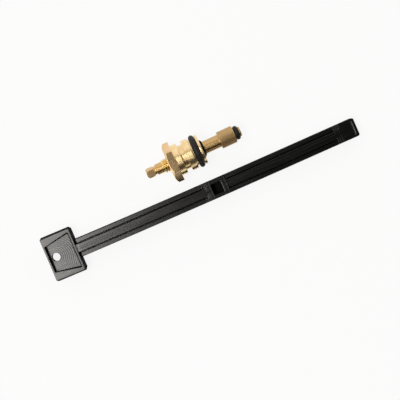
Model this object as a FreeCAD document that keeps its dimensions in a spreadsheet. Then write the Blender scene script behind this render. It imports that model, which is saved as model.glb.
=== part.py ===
"""Boiler filling valve: a brass cartridge with its screw spindle, and the moulded key that works it.

Millimetres. The valve lies along +X with one flat of its hexagon on the ground; closing the valve moves the
spindle towards +X. The key lies beside it. The origin is on the ground under the middle of the set.
"""
import FreeCAD, Part

import os

import Sketcher

Vector = FreeCAD.Vector
DOC = FreeCAD.newDocument("BoilerFillingValve")

SIZES = [
    # Turned valve body, from the hexagon flange to the end disc
    ("hex_across_flats", 22.0),
    ("hex_thickness", 4.8),
    ("hex_chamfer_face", 20.8),
    ("hex_chamfer_angle", 30.0),
    ("land_diameter", 19.4),
    ("rear_land_length", 3.9),
    ("clip_groove_length", 3.1),
    ("clip_groove_diameter", 15.5),
    ("front_land_length", 4.0),
    ("step_length", 0.8),
    ("step_diameter", 18.0),
    ("ring_groove_length", 3.9),
    ("ring_groove_diameter", 13.8),
    ("disc_length", 1.5),
    ("disc_diameter", 18.8),
    ("edge_break", 0.25),
    # Threads of the spindle and the body
    ("thread_pitch", 1.5),
    ("thread_diameter", 8.9),
    ("thread_angle", 60.0),
    ("thread_flank_gap", 0.12),
    ("thread_root_gap", 0.22),
    ("opening_travel", 9.75),
    ("closing_travel", 1.5),
    ("stop_gap", 0.15),
    # Gland behind the end disc
    ("pocket_diameter", 11.0),
    ("stem_ring_room", 1.6),
    ("spacer_thickness", 0.8),
    ("gland_seal_seat", 1.6),
    ("gland_seal_proud", 1.5),
    ("gland_seal_flange", 0.3),
    ("gland_seal_lip", 0.45),
    ("seat_gap", 0.02),
    ("running_gap", 0.05),
    # Spindle, from the drive square to the tip
    ("drive_square", 5.0),
    ("drive_turn", 22.0),
    ("drive_length", 5.2),
    ("drive_diameter", 6.8),
    ("drive_chamfer", 0.9),
    ("neck_length", 1.1),
    ("neck_diameter", 5.2),
    ("collar_length", 4.3),
    ("collar_diameter", 6.7),
    ("thread_shown", 3.9),
    ("relief_length", 1.6),
    ("stem_diameter", 7.9),
    ("nose_stop_gap", 0.35),
    ("nose_diameter", 10.6),
    ("nose_length", 9.8),
    ("tip_groove_diameter", 4.0),
    ("tip_lip_length", 1.5),
    ("tip_lip_diameter", 6.0),
    # Rubber rings
    ("body_ring_cord", 3.4),
    ("tip_ring_cord", 2.4),
    ("ring_side_gap", 0.1),
    # Moulded key
    ("key_length", 203.9),
    ("key_height", 11.0),
    ("head_length", 18.8),
    ("head_width", 28.8),
    ("head_corner", 1.2),
    ("head_end_wall", 0.9),
    ("head_bar_wall", 1.3),
    ("recess_narrow", 16.8),
    ("recess_wide", 22.8),
    ("recess_depth", 3.65),
    ("hang_hole_diameter", 5.1),
    ("hang_hole_from_end", 4.6),
    ("bar_width", 12.0),
    ("rib_width", 4.8),
    ("bead_width", 1.0),
    ("bead_height", 0.25),
    ("rail_groove_width", 0.9),
    ("rail_groove_depth", 2.2),
    ("rail_drop", 1.5),
    ("rail_tilt", 0.18),
    ("middle_block_from_end", 103.3),
    ("middle_block_length", 16.0),
    ("middle_block_fall", 1.1),
    ("middle_pocket_side", 6.5),
    ("middle_pocket_depth", 7.0),
    ("middle_pocket_shift", 0.4),
    ("end_block_length", 13.6),
    ("end_round", 1.2),
    ("cross_groove_from_end", 2.6),
    ("cross_groove_width", 1.2),
    ("cross_groove_length", 8.2),
    ("cross_groove_depth", 0.5),
    ("block_ramp", 3.2),
    ("socket_side", 5.2),
    ("socket_depth", 10.0),
    # Where the two lie on the ground
    ("flange_station", -10.8),
    ("valve_offset", 12.05),
    ("key_offset", 12.9),
    ("key_yaw", 1.3),
]

# Profile of a thread's tooth as shares of its pitch
THREAD_DEPTH_SHARE = 0.53
THREAD_ROOT_SHARE = 0.08
# How far a thread's cutting profile runs past the bar or the bore, as a share of its pitch
CUTTER_OVERRUN = 0.1
# Two places closer than this are the same place
SAME_PLACE = 1e-4
FULL_TURN = 360.0
QUARTER_TURN = 90.0
EIGHTH_TURN = 45.0
SQUARE_SIDES = 4


def make_sheet():
    """The driving dimensions, one row each."""
    sheet = DOC.addObject("Spreadsheet::Sheet", "Sizes")
    for row, (name, value) in enumerate(SIZES, start=1):
        sheet.set(f"A{row}", name)
        sheet.set(f"B{row}", str(value))
        sheet.setAlias(f"B{row}", name)
    DOC.recompute()
    return sheet


SHEET = make_sheet()


def size(name):
    return f"Sizes.{name}"


def total(*terms):
    return "(" + " + ".join(terms) + ")"


def less(first, *others):
    return "(" + " - ".join((first,) + others) + ")"


def half(term):
    return f"({term} / 2)"


def minus(term):
    return f"(0 - {term})"


def times(term, factor):
    return f"({term} * {factor})"


def number(expression):
    """The present value of an expression, for a sketch's first guess."""
    return float(SHEET.evalExpression(expression))


# Stations along the valve, from the flange's drive side
SEATING_FACE = size("hex_thickness")
RING_GROOVE_START = total(SEATING_FACE, size("rear_land_length"), size("clip_groove_length"),
                          size("front_land_length"), size("step_length"))
BODY_END = total(RING_GROOVE_START, size("ring_groove_length"), size("disc_length"))
GLAND_SEAL_START = less(BODY_END, size("gland_seal_seat"))
SPACER_START = less(GLAND_SEAL_START, size("stem_ring_room"), size("spacer_thickness"))
POCKET_START = less(SPACER_START, size("stem_ring_room"))
NUT_THREAD_END = less(POCKET_START, size("closing_travel"), size("opening_travel"), size("stop_gap"))
SHOULDER = total(BODY_END, size("gland_seal_proud"), size("opening_travel"), size("nose_stop_gap"))
DRIVE_END = minus(total(size("thread_shown"), size("collar_length"), size("neck_length"),
                        size("drive_length")))

# Radii that fit one another
STEM_RADIUS = half(size("stem_diameter"))
POCKET_RADIUS = half(size("pocket_diameter"))
THREAD_RADIUS = half(size("thread_diameter"))
THREAD_ROOT_RADIUS = less(THREAD_RADIUS, times(size("thread_pitch"), THREAD_DEPTH_SHARE))
NUT_CREST_RADIUS = total(THREAD_ROOT_RADIUS, size("thread_root_gap"))
NUT_ROOT_RADIUS = total(THREAD_RADIUS, size("thread_flank_gap"))
THREAD_PASS_RADIUS = total(NUT_ROOT_RADIUS, size("seat_gap"))
STEM_RING_CORD = less(POCKET_RADIUS, STEM_RADIUS, size("running_gap"), size("seat_gap"))
TIP_GROOVE_LENGTH = total(size("tip_ring_cord"), size("ring_side_gap"), size("ring_side_gap"))

# Places in the key
KEY_MIDDLE = half(size("key_height"))
HALF_BAR = half(size("bar_width"))
HALF_HEAD = half(size("head_width"))
END_BLOCK_START = less(size("key_length"), size("end_block_length"))


def new_body(label):
    body = DOC.addObject("PartDesign::Body", label)
    body.Label = label
    return body


def origin_plane(body, role):
    return next(item for item in body.Origin.OriginFeatures if item.Role == role)


def new_sketch(body, name, role, offset=None):
    """A sketch on one of the body's origin planes, raised along the plane's normal by an expression."""
    sketch = body.newObject("Sketcher::SketchObject", name)
    sketch.AttachmentSupport = [(origin_plane(body, role), "")]
    sketch.MapMode = "FlatFace"
    if offset is not None:
        sketch.setExpression("AttachmentOffset.Base.z", offset)
    return sketch


def bind_distance(sketch, kind, vertex, expression):
    """Ties one coordinate of a sketch's corner to the sheet."""
    geometry, point = vertex
    value = number(expression)
    index = sketch.addConstraint(Sketcher.Constraint(kind, -1, 1, geometry, point, value))
    name = f"{kind}_{geometry}_{point}"
    sketch.renameConstraint(index, name)
    sketch.setExpression(f"Constraints.{name}", expression)


def place_corner(sketch, vertex, across, up):
    """Ties a corner to two expressions; None means that it lies on that axis."""
    if across is None:
        sketch.addConstraint(Sketcher.Constraint("PointOnObject", *vertex, -2))
    else:
        bind_distance(sketch, "DistanceX", vertex, across)
    if up is None:
        sketch.addConstraint(Sketcher.Constraint("PointOnObject", *vertex, -1))
    else:
        bind_distance(sketch, "DistanceY", vertex, up)


def first_guess(across, up):
    return Vector(0 if across is None else number(across), 0 if up is None else number(up), 0)


def draw_outline(sketch, corners):
    """A closed outline of straight lines through corners given as pairs of expressions."""
    points = [first_guess(across, up) for across, up in corners]
    first = sketch.GeometryCount
    count = len(points)
    for index in range(count):
        sketch.addGeometry(Part.LineSegment(points[index], points[(index + 1) % count]), False)
    for index in range(count):
        following = first + (index + 1) % count
        sketch.addConstraint(Sketcher.Constraint("Coincident", first + index, 2, following, 1))
        place_corner(sketch, (first + index, 1), *corners[index])


def draw_rectangle(sketch, left, right, bottom, top):
    draw_outline(sketch, [(left, bottom), (right, bottom), (right, top), (left, top)])


def draw_circle(sketch, across, up, radius):
    circle = Part.Circle(first_guess(across, up), Vector(0, 0, 1), number(radius))
    index = sketch.addGeometry(circle, False)
    place_corner(sketch, (index, 3), across, up)
    constraint = sketch.addConstraint(Sketcher.Constraint("Radius", index, number(radius)))
    sketch.renameConstraint(constraint, f"Radius_{index}")
    sketch.setExpression(f"Constraints.Radius_{index}", radius)


def turn_about_x(body, kind, name, corners):
    """A Revolution or a Groove of an outline in the XZ plane about the X axis."""
    sketch = new_sketch(body, f"{name}Profile", "XZ_Plane")
    draw_outline(sketch, corners)
    feature = body.newObject(kind, name)
    feature.Profile = sketch
    feature.ReferenceAxis = (sketch, ["H_Axis"])
    feature.Angle = FULL_TURN
    return feature


def stepped_corners(start, steps):
    """Corners of a turned bar. Each step is its length, its radius and the chamfers of its two ends."""
    corners = [(start, None)]
    left = start
    for length, radius, near_chamfer, far_chamfer in steps:
        right = total(left or "0", length)
        if near_chamfer is None:
            corners.append((left, radius))
        else:
            corners.append((left, less(radius, near_chamfer)))
            corners.append((total(left or "0", near_chamfer), radius))
        if far_chamfer is None:
            corners.append((right, radius))
        else:
            corners.append((less(right, far_chamfer), radius))
            corners.append((right, less(radius, far_chamfer)))
        left = right
    corners.append((left, None))
    return corners


def pull(body, kind, name, sketch, length, reverse=False):
    """A Pad or a Pocket of a sketch."""
    feature = body.newObject(kind, name)
    feature.Profile = sketch
    feature.Reversed = reverse
    feature.setExpression("Length", length)
    return feature


def cut_thread(body, name, corners, travel):
    """Sweeps a cutting outline along a right-handed helix about the X axis."""
    sketch = new_sketch(body, f"{name}Cutter", "XZ_Plane")
    draw_outline(sketch, corners)
    helix = body.newObject("PartDesign::SubtractiveHelix", name)
    helix.Profile = sketch
    helix.ReferenceAxis = (sketch, ["H_Axis"])
    helix.Mode = "pitch-height-angle"
    helix.setExpression("Pitch", size("thread_pitch"))
    helix.setExpression("Height", travel)
    return helix


def move_to(piece, along, across=size("valve_offset"), up=half(size("hex_across_flats"))):
    """Puts a piece of the valve where it belongs along the valve's axis."""
    piece.setExpression("Placement.Base.x", total(size("flange_station"), along))
    piece.setExpression("Placement.Base.y", across)
    piece.setExpression("Placement.Base.z", up)


def tooth_half_width(radius):
    """Half the width of the spindle's thread groove at a radius."""
    rise = times(less(radius, THREAD_ROOT_RADIUS), f"tan({half(size('thread_angle'))})")
    return total(times(size("thread_pitch"), THREAD_ROOT_SHARE), rise)


def nut_half_width(radius):
    """Half the width of the body's thread groove at a radius: the spindle's tooth and its flank gaps."""
    gap = f"({size('thread_flank_gap')} / cos({half(size('thread_angle'))}))"
    return total(less(half(size("thread_pitch")), tooth_half_width(radius)), gap)


def symmetric_cutter(centre, inner, outer, half_width):
    """Four corners of a cutting outline about a station."""
    return [
        (less(centre, half_width(inner)), inner),
        (total(centre, half_width(inner)), inner),
        (total(centre, half_width(outer)), outer),
        (less(centre, half_width(outer)), outer),
    ]


def make_hexagon(body):
    """The hexagon flange with one flat up, chamfered on its drive side only."""
    sketch = new_sketch(body, "HexagonOutline", "YZ_Plane")
    flat = half(size("hex_across_flats"))
    corner = f"({size('hex_across_flats')} / sqrt(3))"
    side = half(corner)
    draw_outline(sketch, [(corner, None), (side, flat), (minus(side), flat),
                          (minus(corner), None), (minus(side), minus(flat)), (side, minus(flat))])
    pull(body, "PartDesign::Pad", "HexagonFlange", sketch, size("hex_thickness"))
    face = half(size("hex_chamfer_face"))
    past_corner = total(corner, size("edge_break"))
    depth = times(less(past_corner, face), f"tan({size('hex_chamfer_angle')})")
    outline = [(minus(size("edge_break")), face), (None, face), (depth, past_corner),
               (minus(size("edge_break")), past_corner)]
    turn_about_x(body, "PartDesign::Groove", "FlangeChamfer", outline)


def make_spigot(body):
    """The turned lands, grooves and end disc in front of the flange."""
    land = half(size("land_diameter"))
    edge = size("edge_break")
    steps = [
        (size("hex_thickness"), half(size("clip_groove_diameter")), None, None),
        (size("rear_land_length"), land, None, edge),
        (size("clip_groove_length"), half(size("clip_groove_diameter")), None, None),
        (size("front_land_length"), land, edge, edge),
        (size("step_length"), half(size("step_diameter")), None, None),
        (size("ring_groove_length"), half(size("ring_groove_diameter")), None, None),
        (size("disc_length"), half(size("disc_diameter")), edge, edge),
    ]
    turn_about_x(body, "PartDesign::Revolution", "Spigot", stepped_corners(None, steps))


def make_bore(body):
    """The bore: a chamfered mouth, the length that is threaded, a clear length and the seal pocket."""
    mouth = times(size("thread_pitch"), THREAD_DEPTH_SHARE)
    over = size("edge_break")
    corners = [
        (minus(over), None),
        (minus(over), total(NUT_CREST_RADIUS, mouth)),
        (None, total(NUT_CREST_RADIUS, mouth)),
        (mouth, NUT_CREST_RADIUS),
        (NUT_THREAD_END, NUT_CREST_RADIUS),
        (NUT_THREAD_END, THREAD_PASS_RADIUS),
        (POCKET_START, THREAD_PASS_RADIUS),
        (POCKET_START, POCKET_RADIUS),
        (total(BODY_END, over), POCKET_RADIUS),
        (total(BODY_END, over), None),
    ]
    turn_about_x(body, "PartDesign::Groove", "Bore", corners)


def make_valve_body():
    """Flange, spigot, bore and the female thread."""
    body = new_body("valve_body")
    make_hexagon(body)
    make_spigot(body)
    make_bore(body)
    inner = less(NUT_CREST_RADIUS, times(size("thread_pitch"), CUTTER_OVERRUN))
    centre = minus(size("thread_pitch"))
    travel = total(NUT_THREAD_END, size("thread_pitch"), size("thread_pitch"))
    cutter = symmetric_cutter(centre, inner, NUT_ROOT_RADIUS, nut_half_width)
    cut_thread(body, "FemaleThread", cutter, travel)
    move_to(body, "0")
    return body


def make_drive_square(body):
    """Cuts the four flats of the drive square, turned about the axis as it lies in the photograph."""
    sketch = new_sketch(body, "DriveFlats", "YZ_Plane")
    draw_circle(sketch, None, None, size("drive_diameter"))
    reach = f"({size('drive_square')} / sqrt(2))"
    corners = []
    for quarter in range(SQUARE_SIDES):
        angle = f"({size('drive_turn')} + {EIGHTH_TURN + quarter * QUARTER_TURN})"
        corners.append((times(reach, f"cos({angle})"), times(reach, f"sin({angle})")))
    draw_outline(sketch, corners)
    pull(body, "PartDesign::Pocket", "DriveSquare", sketch, size("drive_length"), reverse=True)


def make_spindle():
    """The one-piece spindle: drive square, neck, collar, thread, stem, nose and tip."""
    body = new_body("spindle")
    edge = size("edge_break")
    relief = less(THREAD_ROOT_RADIUS, size("seat_gap"))
    thread_start = minus(size("thread_shown"))
    thread_end = less(POCKET_START, size("closing_travel"), size("relief_length"))
    stem_start = total(thread_end, size("relief_length"))
    thread_lead = times(size("thread_pitch"), THREAD_DEPTH_SHARE)
    steps = [
        (size("drive_length"), half(size("drive_diameter")), size("drive_chamfer"), size("drive_chamfer")),
        (size("neck_length"), half(size("neck_diameter")), None, None),
        (size("collar_length"), half(size("collar_diameter")), edge, edge),
        (less(thread_end, thread_start), THREAD_RADIUS, thread_lead, thread_lead),
        (size("relief_length"), relief, None, None),
        (less(SHOULDER, stem_start), STEM_RADIUS, edge, None),
        (size("nose_length"), half(size("nose_diameter")), edge, edge),
        (TIP_GROOVE_LENGTH, half(size("tip_groove_diameter")), None, None),
        (size("tip_lip_length"), half(size("tip_lip_diameter")), edge, edge),
    ]
    turn_about_x(body, "PartDesign::Revolution", "TurnedBar", stepped_corners(None, steps))
    make_drive_square(body)
    outer = total(THREAD_RADIUS, times(size("thread_pitch"), CUTTER_OVERRUN))
    turns_before = f"ceil({size('thread_shown')} / {size('thread_pitch')})"
    cutter_start = minus(total(times(size("thread_pitch"), turns_before), half(size("thread_pitch"))))
    centre = less(cutter_start, DRIVE_END)
    travel = less(total(thread_end, half(size("relief_length"))), cutter_start)
    cutter = symmetric_cutter(centre, THREAD_ROOT_RADIUS, outer, tooth_half_width)
    cut_thread(body, "MaleThread", cutter, travel)
    move_to(body, DRIVE_END)
    return body


def make_o_ring(label, inner_radius, cord, along):
    """A plain O-ring around the valve's axis."""
    ring = DOC.addObject("Part::Torus", label)
    ring.Label = label
    ring.setExpression("Radius2", half(cord))
    ring.setExpression("Radius1", total(inner_radius, half(cord)))
    ring.Placement = FreeCAD.Placement(Vector(), FreeCAD.Rotation(Vector(0, 1, 0), QUARTER_TURN))
    move_to(ring, along)
    return ring


def make_gland_spacer():
    """The washer between the two stem rings."""
    washer = new_body("gland_spacer")
    inner = total(THREAD_RADIUS, size("running_gap"))
    outer = less(POCKET_RADIUS, size("seat_gap"))
    thickness = size("spacer_thickness")
    corners = [(None, inner), (thickness, inner), (thickness, outer), (None, outer)]
    turn_about_x(washer, "PartDesign::Revolution", "Washer", corners)
    move_to(washer, SPACER_START)
    return washer


def make_gland_seal():
    """The rubber ring that closes the pocket and tapers to a lip on the stem."""
    seal = new_body("gland_seal")
    inner = total(STEM_RADIUS, size("running_gap"))
    outer = less(POCKET_RADIUS, size("seat_gap"))
    flange = total(POCKET_RADIUS, size("gland_seal_flange"))
    seat = size("gland_seal_seat")
    tip = total(seat, size("gland_seal_proud"))
    corners = [(None, inner), (tip, inner), (tip, total(inner, size("gland_seal_lip"))),
               (total(seat, size("gland_seal_flange")), flange), (seat, flange), (seat, outer), (None, outer)]
    turn_about_x(seal, "PartDesign::Revolution", "TaperedRing", corners)
    move_to(seal, GLAND_SEAL_START)
    return seal


def make_rubber_rings():
    """The four O-rings: on the body, on the tip, and two on the stem."""
    body_groove = half(size("ring_groove_diameter"))
    body_station = total(RING_GROOVE_START, half(size("ring_groove_length")))
    tip_groove = half(size("tip_groove_diameter"))
    tip_station = total(SHOULDER, size("nose_length"), half(TIP_GROOVE_LENGTH))
    stem_inner = total(STEM_RADIUS, size("running_gap"))
    body_inner = total(body_groove, size("seat_gap"))
    tip_inner = total(tip_groove, size("running_gap"))
    rear_station = total(POCKET_START, half(size("stem_ring_room")))
    front_station = less(GLAND_SEAL_START, half(size("stem_ring_room")))
    return [
        make_o_ring("body_o_ring", body_inner, size("body_ring_cord"), body_station),
        make_o_ring("nose_o_ring", tip_inner, size("tip_ring_cord"), tip_station),
        make_o_ring("stem_o_ring_rear", stem_inner, STEM_RING_CORD, rear_station),
        make_o_ring("stem_o_ring_front", stem_inner, STEM_RING_CORD, front_station),
    ]


def bar_section():
    """Right half of the bar's upper side, from the middle outwards: bead, rib, groove and tilted rail."""
    top = size("key_height")
    bead = half(size("bead_width"))
    rib = half(size("rib_width"))
    rib_top = less(top, size("bead_height"))
    rail = less(top, size("rail_drop"))
    floor = less(rail, size("rail_groove_depth"))
    outside = total(rib, size("rail_groove_width"))
    return [(bead, top), (bead, rib_top), (rib, rib_top), (rib, floor), (outside, floor), (outside, rail),
            (HALF_BAR, less(rail, size("rail_tilt")))]


def make_bar(key):
    """The long bar, its section the same above and below the middle plane."""
    sketch = new_sketch(key, "BarSection", "YZ_Plane", less(size("head_length"), size("head_bar_wall")))
    right = bar_section()
    lower_right = [(across, less(size("key_height"), up)) for across, up in reversed(right)]
    lower_right = [(across, None if index == len(right) - 1 else up)
                   for index, (across, up) in enumerate(lower_right)]
    upper_left = [(minus(across), up) for across, up in reversed(right)]
    lower_left = [(minus(across), up) for across, up in reversed(lower_right)]
    draw_outline(sketch, right + lower_right + lower_left + upper_left)
    length = total(less(size("key_length"), size("head_length")), size("head_bar_wall"))
    pull(key, "PartDesign::Pad", "Bar", sketch, length)


def end_edges(shape, station, upright_only):
    """Names of the straight edges that lie in the plane at a station along X, or only the upright ones."""
    names = []
    for index, edge in enumerate(shape.Edges, start=1):
        ends = [vertex.Point for vertex in edge.Vertexes]
        if len(ends) != 2 or any(abs(end.x - station) > SAME_PLACE for end in ends):
            continue
        if upright_only and abs(ends[0].y - ends[1].y) > SAME_PLACE:
            continue
        names.append(f"Edge{index}")
    return names


def round_ends(key, name, feature, stations, radius, upright_only):
    """Rounds the edges of a feature that lie in the planes at some stations along the key."""
    edges = [edge for station in stations for edge in end_edges(feature.Shape, station, upright_only)]
    rounding = key.newObject("PartDesign::Fillet", name)
    rounding.Base = (feature, edges)
    rounding.setExpression("Radius", radius)


def make_head(key):
    """The head's block with its rounded corners."""
    plan = new_sketch(key, "HeadPlan", "XY_Plane")
    draw_rectangle(plan, None, size("head_length"), minus(HALF_HEAD), HALF_HEAD)
    pad = pull(key, "PartDesign::Pad", "Head", plan, size("key_height"))
    DOC.recompute()
    round_ends(key, "HeadCorners", pad, [0, number(size("head_length"))], size("head_corner"), True)


def hollow_head(key):
    """A trapezoid recess in each face of the head, and the hanging hole through the web between them."""
    near = size("head_end_wall")
    far = less(size("head_length"), size("head_bar_wall"))
    narrow = half(size("recess_narrow"))
    wide = half(size("recess_wide"))
    for name, level, upwards in (("RecessTop", size("key_height"), False), ("RecessBottom", None, True)):
        sketch = new_sketch(key, f"{name}Plan", "XY_Plane", level)
        draw_outline(sketch, [(near, minus(narrow)), (far, minus(wide)), (far, wide), (near, narrow)])
        pull(key, "PartDesign::Pocket", name, sketch, size("recess_depth"), reverse=upwards)
    hole = new_sketch(key, "HangingHolePlan", "XY_Plane", size("key_height"))
    draw_circle(hole, size("hang_hole_from_end"), None, half(size("hang_hole_diameter")))
    pull(key, "PartDesign::Pocket", "HangingHole", hole, size("key_height"))


def block_side(start, length, fall):
    """Side view of a block: a ramp up from the rails towards the head, and a steeper fall if there is one."""
    low = size("rail_drop")
    top = size("key_height")
    high = less(top, low)
    ramp_top = total(start, size("block_ramp"))
    end = total(start, length)
    if fall is None:
        return [(start, low), (ramp_top, None), (end, None), (end, top), (ramp_top, top), (start, high)]
    fall_top = less(end, fall)
    return [(start, low), (ramp_top, None), (fall_top, None), (end, low), (end, high), (fall_top, top),
            (ramp_top, top), (start, high)]


def make_block(key, name, start, length, fall=None):
    """A block over the bar's full height."""
    sketch = new_sketch(key, f"{name}Side", "XZ_Plane")
    draw_outline(sketch, block_side(start, length, fall))
    pad = pull(key, "PartDesign::Pad", name, sketch, size("bar_width"))
    pad.SideType = "Symmetric"
    return pad


def make_sockets(key):
    """The blind square pocket in the middle block and the square socket in the end."""
    side = half(size("middle_pocket_side"))
    centre = total(size("middle_block_from_end"), half(size("middle_block_length")),
                   size("middle_pocket_shift"))
    pocket = new_sketch(key, "MiddlePocketPlan", "XY_Plane", size("key_height"))
    draw_rectangle(pocket, less(centre, side), total(centre, side), minus(side), side)
    pull(key, "PartDesign::Pocket", "MiddlePocket", pocket, size("middle_pocket_depth"))
    reach = half(size("socket_side"))
    socket = new_sketch(key, "EndSocketPlan", "YZ_Plane", size("key_length"))
    draw_rectangle(socket, minus(reach), reach, less(KEY_MIDDLE, reach), total(KEY_MIDDLE, reach))
    pull(key, "PartDesign::Pocket", "EndSocket", socket, size("socket_depth"))


def make_cross_groove(key):
    """The shallow groove across the top of the end block."""
    centre = less(size("key_length"), size("cross_groove_from_end"))
    near = less(centre, half(size("cross_groove_width")))
    far = total(centre, half(size("cross_groove_width")))
    reach = half(size("cross_groove_length"))
    sketch = new_sketch(key, "CrossGroovePlan", "XY_Plane", size("key_height"))
    draw_rectangle(sketch, near, far, minus(reach), reach)
    pull(key, "PartDesign::Pocket", "CrossGroove", sketch, size("cross_groove_depth"))


def make_operating_key():
    """The moulded key, lying beside the valve."""
    key = new_body("operating_key")
    make_head(key)
    make_bar(key)
    make_block(key, "MiddleBlock", size("middle_block_from_end"), size("middle_block_length"),
               size("middle_block_fall"))
    block = make_block(key, "EndBlock", END_BLOCK_START, size("end_block_length"))
    DOC.recompute()
    round_ends(key, "EndEdges", block, [number(size("key_length"))], size("end_round"), False)
    hollow_head(key)
    make_sockets(key)
    make_cross_groove(key)
    key.Placement = FreeCAD.Placement(Vector(), FreeCAD.Rotation(Vector(0, 0, 1), 0))
    key.setExpression("Placement.Rotation.Angle", minus(size("key_yaw")))
    reach = half(size("key_length"))
    key.setExpression("Placement.Base.x", minus(times(reach, f"cos({size('key_yaw')})")))
    drift = times(reach, f"sin({size('key_yaw')})")
    key.setExpression("Placement.Base.y", less(drift, size("key_offset")))
    return key


def check_document():
    for item in DOC.Objects:
        if "Invalid" in item.State or "Error" in item.State:
            raise RuntimeError(f"{item.Name} did not build: {item.State}")


def write_piece(piece):
    shape = piece.Shape
    if shape.isNull() or not shape.isValid() or len(shape.Solids) != 1:
        raise RuntimeError(f"{piece.Label} is not one valid solid")
    shape.exportStep(f"parts/{piece.Label}.step")
    print(f"{piece.Label}: volume {shape.Volume:.1f}, box {shape.BoundBox}")


def main():
    pieces = [make_valve_body(), make_spindle(), make_gland_spacer(), make_gland_seal()]
    pieces += make_rubber_rings()
    pieces.append(make_operating_key())
    DOC.recompute()
    check_document()
    os.makedirs("parts", exist_ok=True)
    for piece in pieces:
        write_piece(piece)


main()
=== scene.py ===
"""The boiler filling valve and its key as they look. Sizes are in millimetres, which MM turns to metres."""

import math

import bmesh
import bpy
import numpy as np
from mathutils import Matrix, Vector


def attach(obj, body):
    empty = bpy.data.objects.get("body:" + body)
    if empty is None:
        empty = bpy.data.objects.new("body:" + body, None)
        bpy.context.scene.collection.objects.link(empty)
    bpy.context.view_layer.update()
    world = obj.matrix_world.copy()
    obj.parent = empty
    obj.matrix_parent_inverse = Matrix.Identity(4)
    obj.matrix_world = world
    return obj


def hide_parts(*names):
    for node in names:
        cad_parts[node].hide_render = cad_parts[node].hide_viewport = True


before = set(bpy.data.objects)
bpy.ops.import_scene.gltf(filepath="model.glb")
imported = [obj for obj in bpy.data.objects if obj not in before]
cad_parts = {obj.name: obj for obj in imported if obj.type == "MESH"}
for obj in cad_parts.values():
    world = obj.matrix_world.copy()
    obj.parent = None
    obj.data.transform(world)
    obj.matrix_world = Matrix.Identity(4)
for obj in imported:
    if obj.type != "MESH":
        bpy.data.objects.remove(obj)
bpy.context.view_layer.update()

MM = 0.001

# Small gaps: one too small to see, and the one between a seal and what it lies on
HAIR = 0.02
RUNNING_GAP = 0.05

# Fineness of the meshes: sides round an axis, steps to a turn of thread, and points on a softened corner
BODY_SIDES = 240
SPINDLE_SIDES = 128
SEAL_SIDES = 144
CORD_SIDES = 40
PIN_SIDES = 72
THREAD_STEPS = 22
CORNER_STEPS = 5
SECTION_STEPS = 4

# Where the valve and the key lie
FLANGE_STATION = -10.8
AXIS_Y = 12.05
AXIS_Z = 11.0
KEY_OFFSET = 12.9
KEY_YAW = math.radians(1.3)

# Valve body: stations from the flange's drive face, and radii
MOUTH_RADIUS = 5.4
MOUTH_DEPTH = 0.75
HEX_FLAT = 11.0
HEX_CORNER = 12.55
HEX_FACE = 10.4
HEX_CHAMFER_SLOPE = math.tan(math.radians(30))
SEAT = 4.8
LAND = 9.7
REAR_LAND_END = 8.7
CLIP_END = 11.8
CLIP_RADIUS = 7.75
FRONT_LAND_END = 15.8
STEP_END = 16.6
STEP_RADIUS = 8.5
RING_FLOOR = 6.9
RING_END = 20.5
DISC_RADIUS = 9.4
BODY_END = 22.0
POCKET_START = 16.4
POCKET_RADIUS = 5.5
BORE_RADIUS = 4.62
LAND_EDGE = 0.28
GROOVE_ROOT = 0.15

# Spindle: stations from the flange's drive face, and radii
PITCH = 1.5
THREAD_RADIUS = 4.45
THREAD_ROOT = 3.655
THREAD_HALF_ROOT = 0.12
FLANK_SLOPE = math.tan(math.radians(30))
THREAD_PHASE = -5.25
DRIVE_START = -14.5
DRIVE_END = -9.3
DRIVE_HALF = 2.5
DRIVE_RADIUS = 3.4
DRIVE_TURN = 22
DRIVE_CONE = 1.35
NECK_RADIUS = 2.6
COLLAR_START = -8.2
COLLAR_RADIUS = 3.35
THREAD_START = -3.9
THREAD_END = 13.3
STEM_START = 14.9
STEM_RADIUS = 3.95
NOSE_START = 33.6
NOSE_END = 43.4
NOSE_RADIUS = 5.3
NOSE_TURNED_EDGE = 0.4
TIP_GROOVE_END = 46.45
TIP_GROOVE_RADIUS = 2.0
TIP_END = 47.5
TIP_RADIUS = 3.0

# Rubber rings: station, inner radius, cord and the width that it is squeezed to
BODY_RING = ((STEP_END + RING_END) / 2, RING_FLOOR + HAIR, 3.4, 3.4)
TIP_RING = (44.95, TIP_GROOVE_RADIUS + RUNNING_GAP, 2.3, 2.9)
MOULD_LINE = 0.035

# Gland seal: how deep it sits, how far it stands proud, its lip, and its flange on the end disc
GLAND_DEPTH = 1.6
GLAND_PROUD = 1.5
GLAND_LIP = 0.35
GLAND_SEAT_RADIUS = 5.48
GLAND_FLANGE = 0.3
GLAND_FLANGE_RADIUS = 5.7
GLAND_SHOULDER_RADIUS = 5.65

# Key: stations from the head's end, half widths and heights
KEY_LENGTH = 203.9
KEY_TOP = 11.0
PARTING = 5.5
KEY_EDGE = 0.3
HEAD_HALF = 14.4
HEAD_TOP = 10.88
HEAD_DRAFT = 1.05
HEAD_END = 18.8
HEAD_STEP_TOP = 9.6
RECESS_FLOOR = 7.35
BAR_HALF = 6.0
MIDDLE_POCKET = (108.4, 114.95)
POCKET_HALF = 3.45
POCKET_FLOOR = 4.0
END_EDGE = 0.8
END_ROUNDING = 1.7
SOCKET_HALF = 2.6
SOCKET_DEPTH = 10

# The hanging hole: its station, and its radius at heights from the bottom up
HOLE_STATION = 4.6
HOLE_LEVELS = ((2.9, 2.9), (3.68, 2.7), (4.0, 2.56), (5.5, 2.52), (7.0, 2.56), (7.33, 2.7), (7.9, 2.9))

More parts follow.
